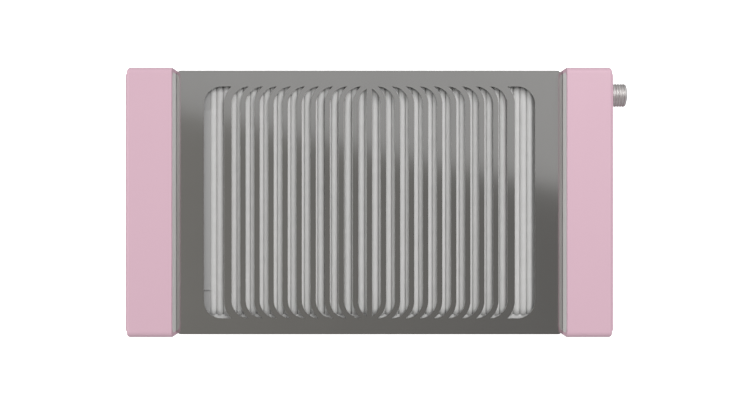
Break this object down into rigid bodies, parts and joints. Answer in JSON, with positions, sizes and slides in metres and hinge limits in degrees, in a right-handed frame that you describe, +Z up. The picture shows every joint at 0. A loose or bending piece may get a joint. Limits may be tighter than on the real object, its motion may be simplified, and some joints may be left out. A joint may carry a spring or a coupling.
{
  "type": "nail dust collector",
  "caption": "Desktop nail dust collector: slotted steel cover over a lift-out pleated filter and blowers, between moulded end caps with a speed knob.",
  "frame": {"origin": "on the desk, under the middle of the body, halfway between the two end caps", "axes": "+X towards the end cap with the knob, -Y towards the client's side, +Z up"},
  "size_m": [0.3442, 0.1822, 0.09],
  "materials": {
    "pink_abs": "satin moulded ABS",
    "coated_steel": "light grey powder coat",
    "polished_steel": "polished stainless sheet",
    "tray_steel": "brushed stainless sheet",
    "zinc_steel": "zinc plated sheet and screws",
    "magnet_nickel": "nickel plated magnet",
    "filter_paper": "pleated glass-fibre filter paper",
    "filter_plastic": "white moulded frame",
    "foam": "closed-cell foam",
    "black_pbt": "black glass-filled plastic",
    "laminated_iron": "varnished lamination stack",
    "sintered_bronze": "oil-filled sintered bronze",
    "bright_steel": "ground steel",
    "green_laminate": "solder-masked glass laminate",
    "component_plastic": "moulded electronic parts",
    "knob_aluminium": "turned aluminium",
    "contact_brass": "nickel-washed brass",
    "lead_sheath": "PVC sheath",
    "feet_rubber": "moulded rubber"
  },
  "bodies": {
    "housing": {"blower_1_bearings": "sintered_bronze", "blower_1_cover": "black_pbt", "blower_1_scroll": "black_pbt", "blower_1_stator": "laminated_iron", "blower_2_bearings": "sintered_bronze", "blower_2_cover": "black_pbt", "blower_2_scroll": "black_pbt", "blower_2_stator": "laminated_iron", "blower_leads": "lead_sheath", "blower_pads": "feet_rubber", "blower_screws": "zinc_steel", "cable_grommet": "feet_rubber", "chassis_tray": "tray_steel", "cover_magnets": "magnet_nickel", "fan_deck": "zinc_steel", "filter_seat": "black_pbt", "foot_front_left": "feet_rubber", "foot_front_right": "feet_rubber", "foot_rear_left": "feet_rubber", "foot_rear_right": "feet_rubber", "foot_screws": "zinc_steel", "inlet_guard_1": "black_pbt", "inlet_guard_2": "black_pbt", "inlet_housing": "black_pbt", "inlet_pins": "contact_brass", "left_cap": "pink_abs", "left_cap_screws": "zinc_steel", "left_side_panel": "pink_abs", "left_side_plate": "coated_steel", "magnet_brackets": "zinc_steel", "mains_lead": "lead_sheath", "regulator_board": "green_laminate", "regulator_components": "component_plastic", "regulator_lead": "lead_sheath", "regulator_nut": "zinc_steel", "right_cap": "pink_abs", "right_cap_screws": "zinc_steel", "right_side_panel": "pink_abs", "right_side_plate": "coated_steel", "speed_regulator": "component_plastic", "supply_board": "green_laminate", "supply_components": "component_plastic", "supply_posts": "zinc_steel", "supply_screws": "zinc_steel"},
    "cover": {"grille_cover": "polished_steel"},
    "filter": {"filter_frame": "filter_plastic", "filter_pleats": "filter_paper", "filter_pull_strip": "filter_plastic", "filter_gasket": "foam"},
    "knob": {"speed_knob": "knob_aluminium", "knob_set_screw": "zinc_steel", "regulator_spindle": "bright_steel"},
    "impeller_1": {"blower_1_impeller": "black_pbt", "blower_1_shaft": "bright_steel"},
    "impeller_2": {"blower_2_impeller": "black_pbt", "blower_2_shaft": "bright_steel"}
  },
  "joints": [
    {"name": "cover_lift", "type": "slide", "parent": "housing", "child": "cover", "axis": [0, 0, 1], "range_m": [0, 0.12]},
    {"name": "filter_lift", "type": "slide", "parent": "housing", "child": "filter", "axis": [0, 0, 1], "range_m": [0, 0.06]},
    {"name": "knob_turn", "type": "hinge", "parent": "housing", "child": "knob", "pos_m": [0.1655, 0.075, 0.06], "axis": [-1, 0, 0], "range_deg": [0, 300]},
    {"name": "impeller_1_spin", "type": "hinge", "parent": "housing", "child": "impeller_1", "pos_m": [-0.0602, 0.024, 0.02], "axis": [0, 0, 1], "continuous": true},
    {"name": "impeller_2_spin", "type": "hinge", "parent": "housing", "child": "impeller_2", "pos_m": [0.0602, 0.024, 0.02], "axis": [0, 0, 1], "continuous": true}
  ],
  "couplings": [
    {"joint": "filter_lift", "follows": "cover_lift", "ratio": 0.5}
  ]
}
